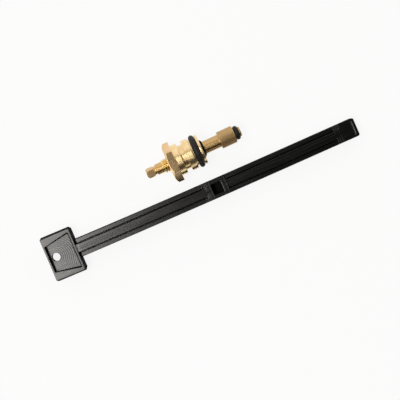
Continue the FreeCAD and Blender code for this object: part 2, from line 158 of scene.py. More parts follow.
# Corners of a quarter of the key's section, from the middle of its top out to the parting line
BAR_Y = (0, 0.4, 0.8, 2.35, 2.66, 2.9, 3.25, 5.6, BAR_HALF)
BAR_Z = (KEY_TOP, KEY_TOP, 10.9, 10.86, 8.5, 8.5, 9.5, 9.34, PARTING)
BAR_ROUND = (0, 0.25, 0.25, 0.16, 0.1, 0.1, 0.2, 0.15, 0)
SHOULDERS = (2, 3)
GROOVES = (4, 5)
RAILS = (6, 7)
POCKET_Y = (0, 0.9, 1.8, 2.7, 3.32, POCKET_HALF, 4.2, 5.7, BAR_HALF)
END_Y = (0, 0.9, 1.8, 2.7, 3.6, 4.1, 4.6, 5.75, BAR_HALF)
SOCKET_Y = (0, 0.45, 0.9, 1.35, 1.8, 2.1, 2.35, SOCKET_HALF, SOCKET_HALF)

# Where the key gets painted shade, a matt black standing in for the dark it would reflect: how far in from
# its end and sides, and how level a face there may be
SHADE_END = 1.6
SHADE_END_LEVEL = 0.97
SHADE_EDGE = 1.25
SHADE_EDGE_LEVEL = 0.8
SHADE_WALL_LEVEL = 0.35
SHADE_WALL_ASIDE = 0.8
SHADE_POCKET_HALF = 3.6
SHADE_POCKET_HEIGHTS = (1, 10.6)

# How the key lies, and its slight bow at stations along it
KEY_REACH = KEY_LENGTH / 2
KEY_COS = math.cos(KEY_YAW)
KEY_SIN = math.sin(KEY_YAW)
BOW_UNIT = 100
BOW_STATIONS = (8.5, 26.7, 59.9, 81.0, 111.3, 150.6, 186.9, 197.8)
BOW_SHIFTS = (0.28, 0.01, -0.205, -0.285, -0.235, -0.145, 0.10, 0.22)
BOW = np.poly1d(np.polyfit(np.array(BOW_STATIONS) / BOW_UNIT, BOW_SHIFTS, 3))
BOW_SLOPE = BOW.deriv()

# Camera: its place, its turn about the vertical, how far it looks off straight down, and its focal length
CAMERA_PLACE = (0.9, 2.5, 450)
CAMERA_TURN = math.radians(-24.91)
LOOK_RIGHT = math.radians(0.55)
LOOK_DOWN = math.radians(2.34)
PICTURE_WIDTH = 400
FOCAL_PIXELS = 726
SENSOR_WIDTH = 36

# Floor and lamps, in metres: a lamp's name, the angles across the valve that it spans, and its radiance
FLOOR_HALF = 40.0
FLOOR_GLOW = 0.88
LAMPS = (("lamp", -14, 18, 8.5), ("lamp_skirt", -34, -14, 3.0))
LAMP_TILT = math.radians(20)
LAMP_DISTANCE = 1.6
LAMP_LENGTH = 0.42
LAMP_COLOR = (1, 0.98, 0.94)

# The studio's brightness by the angle from overhead, from the key's side round to the valve's
SKY = (
    (-90, 0.16), (-84, 0.05), (-30, 0.035), (-8, 0.02), (18, 0.03),
    (26, 0.35), (34, 0.85), (42, 1.0), (90, 1.0),
)

# The tint of its dark side, and how far in radians to each side of overhead the tint fades out
NEAR_SIDE_TINT = (1, 0.93, 0.85, 1)
TINT_FADE = 0.3

# Where it turns white: toward both ends of the object, by a direction's part along X, and at the horizon
WHITE_ENDS = (0.72, 0.9)
COVE_START = math.radians(1.5)
COVE_END = math.radians(2.5)


# Mesh helpers
def soften(line, radii, steps, closed=False):
    """Rounds the corners of a line of points. A corner becomes as many points as it has steps."""
    line = np.asarray(line, float)
    count = len(line)
    out = []
    for index, corner in enumerate(line):
        if steps[index] < 2:
            out.append(corner)
            continue
        before = line[index - 1] if index or closed else corner
        after = line[(index + 1) % count] if index < count - 1 or closed else corner
        ends = []
        for other in (before, after):
            reach = np.linalg.norm(other - corner)
            share = min(radii[index], 0.45 * reach) / reach if reach > 1e-9 else 0
            ends.append(corner + (other - corner) * share)
        for s in np.linspace(0, 1, steps[index]):
            out.append((1 - s) ** 2 * ends[0] + 2 * s * (1 - s) * corner + s * s * ends[1])
    return np.array(out)


def grid_faces(rows, columns, wrap_rows, wrap_columns):
    faces = []
    for i in range(rows if wrap_rows else rows - 1):
        for j in range(columns if wrap_columns else columns - 1):
            a, b = i, (i + 1) % rows
            c, d = j, (j + 1) % columns
            faces.append((a * columns + c, a * columns + d, b * columns + d, b * columns + c))
    return faces


def link_object(name, data):
    holder = bpy.data.objects.new(name, data)
    bpy.context.scene.collection.objects.link(holder)
    return holder


def link_mesh(name, points, faces):
    mesh = bpy.data.meshes.new(name)
    mesh.from_pydata([tuple(p) for p in points], [], faces)
    return link_object(name, mesh)


def clean_mesh(mesh, merge):
    """Turns all faces outward, after merging points that coincide if that is asked for."""
    work = bmesh.new()
    work.from_mesh(mesh)
    if merge:
        bmesh.ops.remove_doubles(work, verts=work.verts, dist=1e-7)
        bmesh.ops.dissolve_degenerate(work, edges=work.edges, dist=1e-8)
    bmesh.ops.recalc_face_normals(work, faces=work.faces)
    work.to_mesh(mesh)
    work.free()


def cut_away(piece, cutter):
    """Cuts the cutter out of the piece and removes the cutter."""
    cut = piece.modifiers.new("Cut", "BOOLEAN")
    cut.operation = "DIFFERENCE"
    cut.solver = "EXACT"
    cut.object = cutter
    bpy.context.view_layer.update()
    depsgraph = bpy.context.evaluated_depsgraph_get()
    cut_mesh = bpy.data.meshes.new_from_object(piece.evaluated_get(depsgraph))
    piece.modifiers.clear()
    cut_mesh.name = piece.name
    piece.data = cut_mesh
    bpy.data.objects.remove(cutter)


def make_piece(name, points, faces, materials, indices, body, nodes, sharp=35, cutter=None):
    """A finished piece of the model from points in metres. It rides on a body and stands for its nodes."""
    piece = link_mesh(name, points, faces)
    for material in materials:
        piece.data.materials.append(material)
    if indices is not None:
        piece.data.polygons.foreach_set("material_index", indices)
    clean_mesh(piece.data, True)
    if cutter is not None:
        cut_away(piece, cutter)
    mesh = piece.data
    mesh.polygons.foreach_set("use_smooth", [True] * len(mesh.polygons))
    mesh.set_sharp_from_angle(angle=math.radians(sharp))
    normals = piece.modifiers.new("Normals", "WEIGHTED_NORMAL")
    normals.keep_sharp = True
    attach(piece, body)
    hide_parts(*nodes)
    return piece


def ring_angles(count, extra=()):
    """Even angles round the axis in degrees, with some that must be there."""
    even = [360 * k / count for k in range(count)]
    extra = [angle % 360 for angle in extra]
    near = 0.4 * 360 / count
    kept = [a for a in even if all(abs((a - e + 180) % 360 - 180) > near for e in extra)]
    return sorted(kept + extra)


def turned(name, profile, angles, materials, paint, body, nodes, closed):
    """A piece turned about the valve's axis. profile(angle) gives corners: station, radius, rounding."""
    lines = []
    for angle in angles:
        corners = profile(angle)
        line = [(x, r) for x, r, _ in corners]
        radii = [rounding for _, _, rounding in corners]
        steps = [CORNER_STEPS if rounding > 0 else 1 for rounding in radii]
        lines.append(soften(line, radii, steps, closed))
    lines = np.array(lines)
    turn = np.radians(angles)[:, None]
    x = lines[..., 0] + FLANGE_STATION
    y = lines[..., 1] * np.cos(turn) + AXIS_Y
    z = lines[..., 1] * np.sin(turn) + AXIS_Z
    points = np.stack([x, y, z], -1).reshape(-1, 3) * MM
    rows, columns = lines.shape[:2]
    faces = grid_faces(rows, columns, True, closed)
    indices = None
    if paint:
        flat = lines.reshape(-1, 2)
        indices = [paint(*flat[list(face)].mean(0)) for face in faces]
    return make_piece(name, points, faces, materials, indices, body, nodes)


# Material helpers
def new_material(name, color, metallic, roughness, ior=1.5):
    material = bpy.data.materials.new(name)
    material.use_nodes = True
    shader = material.node_tree.nodes["Principled BSDF"]
    shader.inputs["Base Color"].default_value = (*color, 1)
    shader.inputs["Metallic"].default_value = metallic
    shader.inputs["Roughness"].default_value = roughness
    shader.inputs["IOR"].default_value = ior
    return material, material.node_tree, shader


def feed(tree, socket, value):
    """Links a socket to another node's output, or sets it to a constant."""
    if isinstance(value, bpy.types.NodeSocket):
        tree.links.new(value, socket)
    else:
        socket.default_value = value


def add(tree, kind, **inputs):
    """A node, with constants or links for its inputs. A word of the form _n means input n."""
    node = tree.nodes.new(kind)
    for key, value in inputs.items():
        feed(tree, node.inputs[int(key[1:])] if key[0] == "_" else node.inputs[key.replace("_", " ")], value)
    return node


def math_node(tree, operation, first, second=0.0):
    node = add(tree, "ShaderNodeMath", _0=first, _1=second)
    node.operation = operation
    return node.outputs[0]


def vector_node(tree, operation, first, second=(0, 0, 0)):
    node = add(tree, "ShaderNodeVectorMath", _0=first, _1=second)
    node.operation = operation
    return node


def ramp(tree, factor, low, high, from_low=0.0, from_high=1.0):
    """Maps one range of a value onto another."""
    node = add(tree, "ShaderNodeMapRange", Value=factor, From_Min=from_low, From_Max=from_high, To_Min=low,
               To_Max=high)
    return node.outputs[0]


def mix_colors(tree, factor, first, second):
    node = tree.nodes.new("ShaderNodeMix")
    node.data_type = "RGBA"
    for index, value in ((0, factor), (6, first), (7, second)):
        feed(tree, node.inputs[index], value)
    return node.outputs[2]


def noise(tree, vector, scale, detail=2.0, roughness=0.5):
    node = add(tree, "ShaderNodeTexNoise", Vector=vector, Scale=scale, Detail=detail, Roughness=roughness)
    return node.outputs[0]


def object_position(tree):
    return tree.nodes.new("ShaderNodeTexCoord").outputs["Object"]


def stretched(tree, vector, scale):
    return add(tree, "ShaderNodeMapping", Vector=vector, Scale=scale).outputs[0]


def add_bump(tree, shader, height, strength, distance, under=None):
    node = add(tree, "ShaderNodeBump", Height=height, Strength=strength, Distance=distance)
    if under is not None:
        tree.links.new(under, node.inputs["Normal"])
    tree.links.new(node.outputs[0], shader.inputs["Normal"])
    return node.outputs[0]


def axis_coordinates(tree):
    """A place in metres, and its station along the valve's axis and distance from it as a vector."""
    place = object_position(tree)
    from_axis = vector_node(tree, "SUBTRACT", place, (0, AXIS_Y * MM, AXIS_Z * MM))
    flat = vector_node(tree, "MULTIPLY", from_axis.outputs[0], (0, 1, 1))
    reach = vector_node(tree, "LENGTH", flat.outputs[0])
    parts = add(tree, "ShaderNodeSeparateXYZ", Vector=place)
    both = add(tree, "ShaderNodeCombineXYZ", X=parts.outputs[0], Y=reach.outputs["Value"])
    return place, both.outputs[0]


# Materials
def brass(name, color, dark, roughness, anisotropic, rotation, line_scale, line_depth):
    """Bare brass with fine tool marks, a little tarnish and uneven gloss."""
    material, tree, shader = new_material(name, color, 1, roughness)
    shader.inputs["Anisotropic"].default_value = anisotropic
    shader.inputs["Anisotropic Rotation"].default_value = rotation
    tangent = tree.nodes.new("ShaderNodeTangent")
    tangent.direction_type = "RADIAL"
    tangent.axis = "X"
    tree.links.new(tangent.outputs[0], shader.inputs["Tangent"])
    place, turned_place = axis_coordinates(tree)
    lines = noise(tree, stretched(tree, turned_place if rotation else place, line_scale), 1.0, 3.0, 0.6)
    cloud = noise(tree, place, 260.0, 4.0, 0.6)
    stain = ramp(tree, cloud, 0.0, 1.0, 0.42, 0.72)
    tint = math_node(tree, "MULTIPLY", stain, 0.45)
    streaked = math_node(tree, "ADD", tint, ramp(tree, lines, -0.12, 0.22))
    tree.links.new(mix_colors(tree, streaked, (*color, 1), (*dark, 1)), shader.inputs["Base Color"])
    gloss = ramp(tree, math_node(tree, "ADD", lines, cloud), roughness - 0.05, roughness + 0.05, 0.6, 1.4)
    tree.links.new(gloss, shader.inputs["Roughness"])
    add_bump(tree, shader, lines, 0.35, line_depth * MM)
    return material


def lathe_brass(name, color, dark, roughness, anisotropic, line_scale, line_depth):
    """Brass from the lathe, whose marks run round the axis."""
    return brass(name, color, dark, roughness, anisotropic, 0.25, (*line_scale, 1), line_depth)


def drawn_brass(name, color, dark, roughness, anisotropic, line_scale, line_depth):
    """Brass as drawn or milled, whose marks run along the axis."""
    along, across = line_scale
    return brass(name, color, dark, roughness, anisotropic, 0, (along, across, across), line_depth)


def rubber(name, color, roughness, shine):
    """Black moulded rubber, matt, with a fine grain and a little bloom."""
    material, tree, shader = new_material(name, color, 0, roughness)
    place = object_position(tree)
    bloom = noise(tree, place, 420.0, 4.0, 0.65)
    shader.inputs["Specular IOR Level"].default_value = shine
    paler = tuple(2.2 * part + 0.002 for part in color)
    tree.links.new(mix_colors(tree, ramp(tree, bloom, 0.0, 1.0, 0.45, 0.85), (*color, 1), (*paler, 1)),
                   shader.inputs["Base Color"])
    tree.links.new(ramp(tree, bloom, roughness - 0.08, roughness + 0.10), shader.inputs["Roughness"])
    add_bump(tree, shader, noise(tree, place, 3200.0, 2.0), 0.25, 0.02 * MM)
    return material


def shade_wall_plastic():
    """The same moulding made matt and almost unreflective: painted shade for its steep walls, edges and
    pocket, which stay dark instead of mirroring the bright floor.
    """
    material, tree, shader = new_material("painted_shade_plastic", (0.010, 0.010, 0.010), 0, 0.7)
    shader.inputs["Specular IOR Level"].default_value = 0.012
    place = object_position(tree)
    tree.links.new(ramp(tree, noise(tree, place, 900.0, 3.0), 0.62, 0.82), shader.inputs["Roughness"])
    add_bump(tree, shader, noise(tree, place, 3000.0, 2.0), 0.3, 0.02 * MM)
    return material


def gate_rings(tree):
    """Rings round the hole that the plastic left as it filled the mould. They fade out past it."""
    gate = key_point((HOLE_STATION, 0, 0)) * MM
    local = add(tree, "ShaderNodeMapping", Vector=object_position(tree), Location=(-gate[0], -gate[1], 0))
    rings = add(tree, "ShaderNodeTexWave", Vector=local.outputs[0], Scale=262.0, Distortion=0.5, Detail=1.0)
    rings.wave_type = "RINGS"
    rings.rings_direction = "Z"
    reach = vector_node(tree, "LENGTH", local.outputs[0])
    near = ramp(tree, reach.outputs["Value"], 1.0, 0.0, 13 * MM, 19 * MM)
    return math_node(tree, "MULTIPLY", rings.outputs["Fac"], near)


def moulded_plastic():
    """Black glossy moulding: flow lines along the key, rings round the gate and a fine grain."""
    material, tree, shader = new_material("black_plastic", (0.002, 0.002, 0.002), 0, 0.26, 1.58)
    turn = add(tree, "ShaderNodeMapping", Vector=object_position(tree), Rotation=(0, 0, KEY_YAW)).outputs[0]
    flow = noise(tree, stretched(tree, turn, (60, 900, 900)), 1.0, 3.0, 0.55)
    grain = noise(tree, turn, 2600.0, 2.0, 0.6)
    waves = noise(tree, turn, 140.0, 2.0, 0.5)
    tree.links.new(mix_colors(tree, flow, (0.0012, 0.0012, 0.0011, 1), (0.0026, 0.0025, 0.0024, 1)),
                   shader.inputs["Base Color"])
    tree.links.new(ramp(tree, flow, 0.22, 0.30, 0.25, 0.75), shader.inputs["Roughness"])
    wavy = add_bump(tree, shader, waves, 0.15, 0.05 * MM)
    lined = add_bump(tree, shader, flow, 0.25, 0.03 * MM, wavy)
    ringed = add_bump(tree, shader, gate_rings(tree), 0.5, 0.04 * MM, lined)
    add_bump(tree, shader, grain, 0.12, 0.008 * MM, ringed)
    return material


# Valve body
def hexagon_radius(angle):
    return min(HEX_FLAT / math.cos(math.radians(angle % 60 - 30)), HEX_CORNER)


def body_profile(angle):
    corner = hexagon_radius(angle)
    chamfer = (corner - HEX_FACE) * HEX_CHAMFER_SLOPE
    return [
        (0, MOUTH_RADIUS, 0.08), (0, HEX_FACE, 0.12), (chamfer, corner, 0.12), (SEAT, corner, 0.18),
        (SEAT, LAND, 0.12), (REAR_LAND_END, LAND, LAND_EDGE),
        (REAR_LAND_END, CLIP_RADIUS, GROOVE_ROOT), (CLIP_END, CLIP_RADIUS, GROOVE_ROOT),
        (CLIP_END, LAND, LAND_EDGE), (FRONT_LAND_END, LAND, LAND_EDGE),
        (FRONT_LAND_END, STEP_RADIUS, 0.1), (STEP_END, STEP_RADIUS, 0.1),
        (STEP_END, RING_FLOOR, GROOVE_ROOT), (RING_END, RING_FLOOR, GROOVE_ROOT),
        (RING_END, DISC_RADIUS, LAND_EDGE), (BODY_END, DISC_RADIUS, LAND_EDGE),
        (BODY_END, POCKET_RADIUS, 0.1), (POCKET_START, POCKET_RADIUS, 0), (POCKET_START, BORE_RADIUS, 0),
        (MOUTH_DEPTH, BORE_RADIUS, 0.05),
    ]


def paint_body(station, radius):
    """0 where the body is turned, and 1 on the hexagon."""
    return 1 if station < SEAT - 0.1 and radius > HEX_FACE - 0.05 else 0


def make_valve_body():
    blunt = math.degrees(math.acos(HEX_FLAT / HEX_CORNER))
    edges = [60 * k + 30 + side * blunt for k in range(6) for side in (-1, 1)]
    turned("body_of_valve", body_profile, ring_angles(BODY_SIDES, edges), [TURNED, HEXAGON], paint_body,
           "valve", ["valve_body"], True)


# Spindle
def drive_radius(angle):
    from_flat = (angle - DRIVE_TURN + 45) % 90 - 45
    return min(DRIVE_HALF / math.cos(math.radians(from_flat)), DRIVE_RADIUS)


def thread_radius(station, angle):
    """Radius of the thread's surface, with its lead-in at both ends."""
    groove = THREAD_PHASE + PITCH * (angle - 90) / 360
    off = abs((station - groove + PITCH / 2) % PITCH - PITCH / 2)
    rise = max(0.0, off - THREAD_HALF_ROOT) / FLANK_SLOPE
    lead = min(station - THREAD_START, THREAD_END - station)
    return min(THREAD_ROOT + rise, THREAD_RADIUS, THREAD_ROOT + lead)


def spindle_profile(angle):
    square = drive_radius(angle)
    chamfer = square - DRIVE_HALF
    corners = [
        (DRIVE_START, 0, 0), (DRIVE_START, DRIVE_HALF - HAIR, 0.08), (DRIVE_START + chamfer, square, 0.1),
        (DRIVE_END - DRIVE_CONE * chamfer, square, 0.1), (DRIVE_END, DRIVE_HALF, 0.05),
        (DRIVE_END + HAIR, NECK_RADIUS, 0.15), (COLLAR_START, NECK_RADIUS, 0.25),
        (COLLAR_START, COLLAR_RADIUS, 0.3), (THREAD_START, COLLAR_RADIUS, 0.12),
        (THREAD_START, THREAD_ROOT, 0.05),
    ]
    count = round((THREAD_END - THREAD_START) / PITCH * THREAD_STEPS)
    for k in range(1, count):
        station = THREAD_START + (THREAD_END - THREAD_START) * k / count
        corners.append((station, thread_radius(station, angle), 0))
    corners += [
        (THREAD_END, THREAD_ROOT - HAIR, 0), (STEM_START, THREAD_ROOT - HAIR, 0.1),
        (STEM_START, STEM_RADIUS, 0.25), (NOSE_START, STEM_RADIUS, 0.2),
        (NOSE_START, NOSE_RADIUS, 0.3), (NOSE_END, NOSE_RADIUS, 0.3),
        (NOSE_END, TIP_GROOVE_RADIUS, 0.1), (TIP_GROOVE_END, TIP_GROOVE_RADIUS, 0.1),
        (TIP_GROOVE_END, TIP_RADIUS, 0.2), (TIP_END, TIP_RADIUS, 0.35), (TIP_END, 0, 0),
    ]
    return corners


def paint_spindle(station, radius):
    """0 on the neck and collar, 1 on the nose and tip, 2 on the square, 3 on the stem and 4 on the thread."""
    along_nose = NOSE_START + NOSE_TURNED_EDGE < station < NOSE_END - NOSE_TURNED_EDGE
    if (along_nose and radius > NOSE_RADIUS - 0.1) or station > NOSE_END:
        return 1
    if DRIVE_START + 0.2 < station < DRIVE_END - 0.1:
        return 2
    if station > STEM_START:
        return 3
    return 4 if station > THREAD_START else 0


def make_spindle():
    reach = math.degrees(math.acos(DRIVE_HALF / DRIVE_RADIUS))
    edges = [DRIVE_TURN + 90 * k + side * reach for k in range(4) for side in (-1, 1)]
    turned("screw_spindle", spindle_profile, ring_angles(SPINDLE_SIDES, edges),
           [TURNED_SPINDLE, NOSE, SQUARE, STEM, THREAD], paint_spindle, "screw", ["spindle"],
           False)


# Rubber rings and the gland
def make_ring(name, place, body, node):
    """An O-ring, squeezed to its width, with thin mould lines outside, inside and on both sides."""
    station, inner, cord, width = place
    centre = inner + cord / 2
    section = []
    for k in range(CORD_SIDES):
        angle = 2 * math.pi * k / CORD_SIDES
        line = 0 if k % (CORD_SIDES // 4) else MOULD_LINE
        along = station + (width / 2 + line) * math.sin(angle)
        out = centre + (cord / 2 + line) * math.cos(angle)
        section.append((along, out, 0))
    turned(name, lambda angle: section, ring_angles(SEAL_SIDES), [RUBBER], None, body, [node],
           True)


def make_gland():
    """The gland seal, whose lip stands proud of the end disc round the stem."""
    inner = STEM_RADIUS + RUNNING_GAP
    seat = BODY_END - GLAND_DEPTH
    disc = BODY_END + HAIR
    tip = BODY_END + GLAND_PROUD
    section = [
        (seat, inner, 0.1), (tip, inner, 0.1), (tip, inner + GLAND_LIP, 0.15),
        (BODY_END + GLAND_FLANGE, GLAND_SHOULDER_RADIUS, 0.2), (disc, GLAND_FLANGE_RADIUS, 0.08),
        (disc, GLAND_SEAT_RADIUS, 0), (seat, GLAND_SEAT_RADIUS, 0.1),
    ]
    turned("gland_ring", lambda angle: section, ring_angles(SEAL_SIDES), [GLAND_RUBBER], None, "valve",
           ["gland_seal"], True)


# Key
def key_point(point):
    """A point of the straight key, bent to the slight bow that it has and laid where it lies."""
    x, y, z = np.moveaxis(np.asarray(point, float), -1, 0)
    bent_x = x - y * BOW_SLOPE(x / BOW_UNIT) / BOW_UNIT
    bent_y = y + BOW(x / BOW_UNIT)
    world_x = -KEY_REACH * KEY_COS + bent_x * KEY_COS + bent_y * KEY_SIN
    world_y = KEY_REACH * KEY_SIN - KEY_OFFSET - bent_x * KEY_SIN + bent_y * KEY_COS
    return np.stack([world_x, world_y, z], -1)


def is_painted_shade(face):
    """Whether a face of the key gets painted shade, a matt black that reflects almost nothing: outer edges,
    the square pocket and steep walls facing along it.

    The wall at the bar's end of the head's recess is glossy.
    """
    off_x = face.center.x / MM + KEY_REACH * KEY_COS
    off_y = face.center.y / MM - KEY_REACH * KEY_SIN + KEY_OFFSET
    along = off_x * KEY_COS - off_y * KEY_SIN
    across = abs(off_x * KEY_SIN + off_y * KEY_COS)
    level = abs(face.normal.z)
    half_width = HEAD_HALF if along < HEAD_END - 0.1 else BAR_HALF
    if along > KEY_LENGTH - SHADE_END:
        return level < SHADE_END_LEVEL
    if across > half_width - SHADE_EDGE:
        return level < SHADE_EDGE_LEVEL
    if MIDDLE_POCKET[0] < along < MIDDLE_POCKET[1] and across < SHADE_POCKET_HALF:
        return SHADE_POCKET_HEIGHTS[0] < face.center.z / MM < SHADE_POCKET_HEIGHTS[1]
    recess_end = 3 < along < HEAD_END - 0.2 and face.normal.x < 0
    return level < SHADE_WALL_LEVEL and abs(face.normal.y) < SHADE_WALL_ASIDE and not recess_end


class Row:
    """One section of the key: a quarter's corners, the rounding across them and the rounding along the key.

    Below the parting line the section is the same, unless it has heights of its own there.
    """

    def __init__(self, x, across, up, rounding, along=0.0, side_along=None, below=None):
        self.x = x
        self.across = across
        self.up = up
        self.below = up if below is None else below
        self.rounding = rounding
        side = along if side_along is None else side_along
        self.along = [along] * 7 + [side] * 2


def bar_row(x, rise=0.0, fill=0.0, lift=None, along=0.0):
    """The bar, its rails raised, its grooves filled and its rib's shoulders lifted by a share of their drop.

    The shoulders lift as much as the rails rise, unless they have a share of their own.
    """
    up = list(BAR_Z)
    for corners, share in ((SHOULDERS, rise if lift is None else lift), (RAILS, rise), (GROOVES, fill)):
        for k in corners:
            up[k] += (KEY_TOP - HAIR - up[k]) * share
    return Row(x, BAR_Y, up, BAR_ROUND, along)


def level_rounding(edge):
    """The rounding of a level section's corners, of which the last but one is the outer edge."""
    return (0,) + (0.05,) * 6 + (edge, 0)


def flat_row(x, across, top, along=0.0, side_along=None, edge=KEY_EDGE):
    return Row(x, across, [top] * 8 + [PARTING], level_rounding(edge), along, side_along)


def sunk_row(x, across, top, floor, along, below=None):
    """A section with a floor between two rims."""
    rounding = (0, 0.05, 0.05, 0.05, 0.3, 0.12, 0.05, KEY_EDGE, 0)
    return Row(x, across, [floor] * 5 + [top] * 3 + [PARTING], rounding, along, None, below)


def pocket_lip_row(x, inside, outside, along):
    """A section just beyond the pocket, lower over the pocket's width than beside it."""
    return Row(x, POCKET_Y, [inside] * 5 + [outside] * 3 + [PARTING], level_rounding(KEY_EDGE), along)


def cross_groove_row(x, depth):
    """A section of the shallow groove across the end block."""
    up = [KEY_TOP - depth] * 5 + [KEY_TOP - 0.6 * depth] + [KEY_TOP] * 2 + [PARTING]
    rounding = (0,) + (0.05,) * 4 + (0.3, 0.2, END_EDGE, 0)
    return Row(x, END_Y, up, rounding, 0.1)


def head_across(half_floor, half_rim, half_width):
    """Places across the head: five on the recess's floor, its rim, and three from there out to the side."""
    floor = [half_floor * k / 4 for k in range(5)]
    return floor + [half_rim, (half_rim + half_width) / 2, half_width - HEAD_DRAFT, half_width]


def head_rows():
    """The head, whose recess widens toward the bar, and the step from it down to the bar."""
    narrow = head_across(8.2, 8.32, HEAD_HALF)
    wide = head_across(10.85, 11.45, HEAD_HALF)
    halfway_across = [(y + head_y) / 2 for y, head_y in zip(BAR_Y, wide)]
    halfway_up = [(z + HEAD_STEP_TOP) / 2 for z in BAR_Z[:-1]] + [PARTING]
    return [
        flat_row(0, head_across(6.0, 7.5, 11.2), 9.0),
        flat_row(0, narrow, HEAD_TOP, 0.15, 0.25),
        flat_row(1.05, narrow, HEAD_TOP, 0.1),
        sunk_row(1.12, narrow, HEAD_TOP, RECESS_FLOOR, 0.06),
        sunk_row(16.75, wide, HEAD_TOP, RECESS_FLOOR, 0.3),
        flat_row(17.75, wide, HEAD_TOP, 0.15),
        flat_row(HEAD_END - 0.05, wide, HEAD_TOP, 0.12, 1.0),
        Row(HEAD_END, halfway_across, halfway_up, BAR_ROUND),
        Row(HEAD_END, BAR_Y, (10.76, 10.76, 10.7, 10.6, 6.6, 6.6, 6.6, 6.6, PARTING), BAR_ROUND, 0.1),
    ]


def middle_rows():
    """The middle block: the ramp up to it, its blind pocket and the step down behind it."""
    whole = [KEY_TOP] * 8 + [PARTING]
    return [
        bar_row(103.2, along=0.15),
        bar_row(104.2, rise=0.95, fill=0.965, lift=0.0, along=0.15),
        bar_row(104.9, rise=0.95, fill=0.97, lift=0.1, along=0.1),
        bar_row(105.3, rise=0.965, fill=0.99, lift=0.4, along=0.1),
        bar_row(105.9, rise=0.97, fill=0.99, lift=0.5, along=0.1),
        bar_row(106.3, rise=0.985, fill=1.0, lift=0.7, along=0.1),
        flat_row(107.45, POCKET_Y, KEY_TOP - 0.035, 0.2),
        flat_row(108.1, POCKET_Y, KEY_TOP, 0.2),
        flat_row(108.42, POCKET_Y, KEY_TOP, 0.08),
        sunk_row(108.5, POCKET_Y, KEY_TOP, POCKET_FLOOR, 0.15, whole),
        sunk_row(114.85, POCKET_Y, KEY_TOP - 0.05, POCKET_FLOOR, 0.15, whole),
        pocket_lip_row(MIDDLE_POCKET[1], KEY_TOP - 0.2, KEY_TOP - 0.05, 0.08),
        pocket_lip_row(115.2, KEY_TOP - 0.075, KEY_TOP - 0.04, 0.12),
        flat_row(116.0, POCKET_Y, KEY_TOP - 0.04, 0.3),
        flat_row(117.5, BAR_Y, KEY_TOP - 0.05, 0.2),
        flat_row(118.15, BAR_Y, KEY_TOP, 0.2),
        bar_row(118.95, along=0.2),
    ]


def step_rows():
    """Three low steps by which the rails rise to the end block."""
    rows = []
    for start, low, high in ((190.1, 0.0, 0.3), (191.5, 0.3, 0.6), (192.8, 0.6, 0.94)):
        filled = 1.0 if low else 0.0
        rows.append(bar_row(start, rise=low, fill=filled, along=0.08))
        rows.append(bar_row(start + 0.2, rise=high, fill=1.0, along=0.08))
    return rows


def end_rows():
    """The end block: its cross groove, its rounded end and the socket that goes back into it."""
    rows = [
        bar_row(194.2, rise=1.0, fill=1.0, along=0.2),
        flat_row(195.2, END_Y, KEY_TOP, edge=0.75),
        flat_row(198.0, END_Y, KEY_TOP, edge=END_EDGE),
        flat_row(200.75, END_Y, KEY_TOP, 0.1, edge=END_EDGE),
        cross_groove_row(201.0, 0.35),
        cross_groove_row(201.5, 0.35),
        cross_groove_row(201.65, 0.1),
        flat_row(202.1, END_Y, KEY_TOP, 0.15, edge=END_EDGE),
    ]
    for angle in np.radians((0, 18, 36, 54, 72, 90)):
        station = KEY_LENGTH - END_ROUNDING * (1 - math.sin(angle))
        drop = END_ROUNDING * (1 - math.cos(angle))
        narrowing = 1 - 0.6 * drop / BAR_HALF
        rows.append(flat_row(station, [y * narrowing for y in END_Y], KEY_TOP - drop, edge=END_EDGE))
    up = [PARTING + SOCKET_HALF] * 8 + [PARTING]
    for station, along in ((KEY_LENGTH, 0.15), (KEY_LENGTH - SOCKET_DEPTH, 0.1)):
        rows.append(Row(station, SOCKET_Y, up, level_rounding(0.15), along))
    return rows


def key_rows():
    bar_before = [bar_row(x) for x in (20.2, *np.linspace(21.5, 102.0, 35))]
    bar_behind = [bar_row(x) for x in np.linspace(121.0, 188.8, 30)]
    return head_rows() + bar_before + middle_rows() + bar_behind + step_rows() + end_rows()


def ring_of(row):
    """The whole ring of a row from its right upper quarter, mirrored across and over the parting line."""
    right = list(zip(row.across, row.up, row.rounding, row.along))
    under = list(zip(row.across, row.below, row.rounding, row.along))
    lower = [(y, 2 * PARTING - z, rounding, along) for y, z, rounding, along in reversed(under[:-1])]
    left = [(-y, z, rounding, along) for y, z, rounding, along in reversed(lower[:-1])]
    upper = [(-y, z, rounding, along) for y, z, rounding, along in reversed(right[1:])]
    ring = right + lower + left + upper
    points = [(row.x, y, z) for y, z, _, _ in ring]
    radii = [rounding for _, _, rounding, _ in ring]
    steps = [SECTION_STEPS if radius > 0 else 1 for radius in radii]
    along = [corner[3] for corner, count in zip(ring, steps) for _ in range(count)]
    return soften(points, radii, steps, True), along


def make_hole_cutter():
    """A slightly waisted pin that cuts the hanging hole through the web."""
    points = []
    for level, radius in HOLE_LEVELS:
        for k in range(PIN_SIDES):
            angle = 2 * math.pi * k / PIN_SIDES
            points.append((HOLE_STATION + radius * math.cos(angle), radius * math.sin(angle), level))
    faces = grid_faces(len(HOLE_LEVELS), PIN_SIDES, False, True)
    faces.append(tuple(reversed(range(PIN_SIDES))))
    faces.append(tuple((len(HOLE_LEVELS) - 1) * PIN_SIDES + k for k in range(PIN_SIDES)))
    pin = link_mesh("pin", key_point(points) * MM, faces)
    clean_mesh(pin.data, False)
    return pin


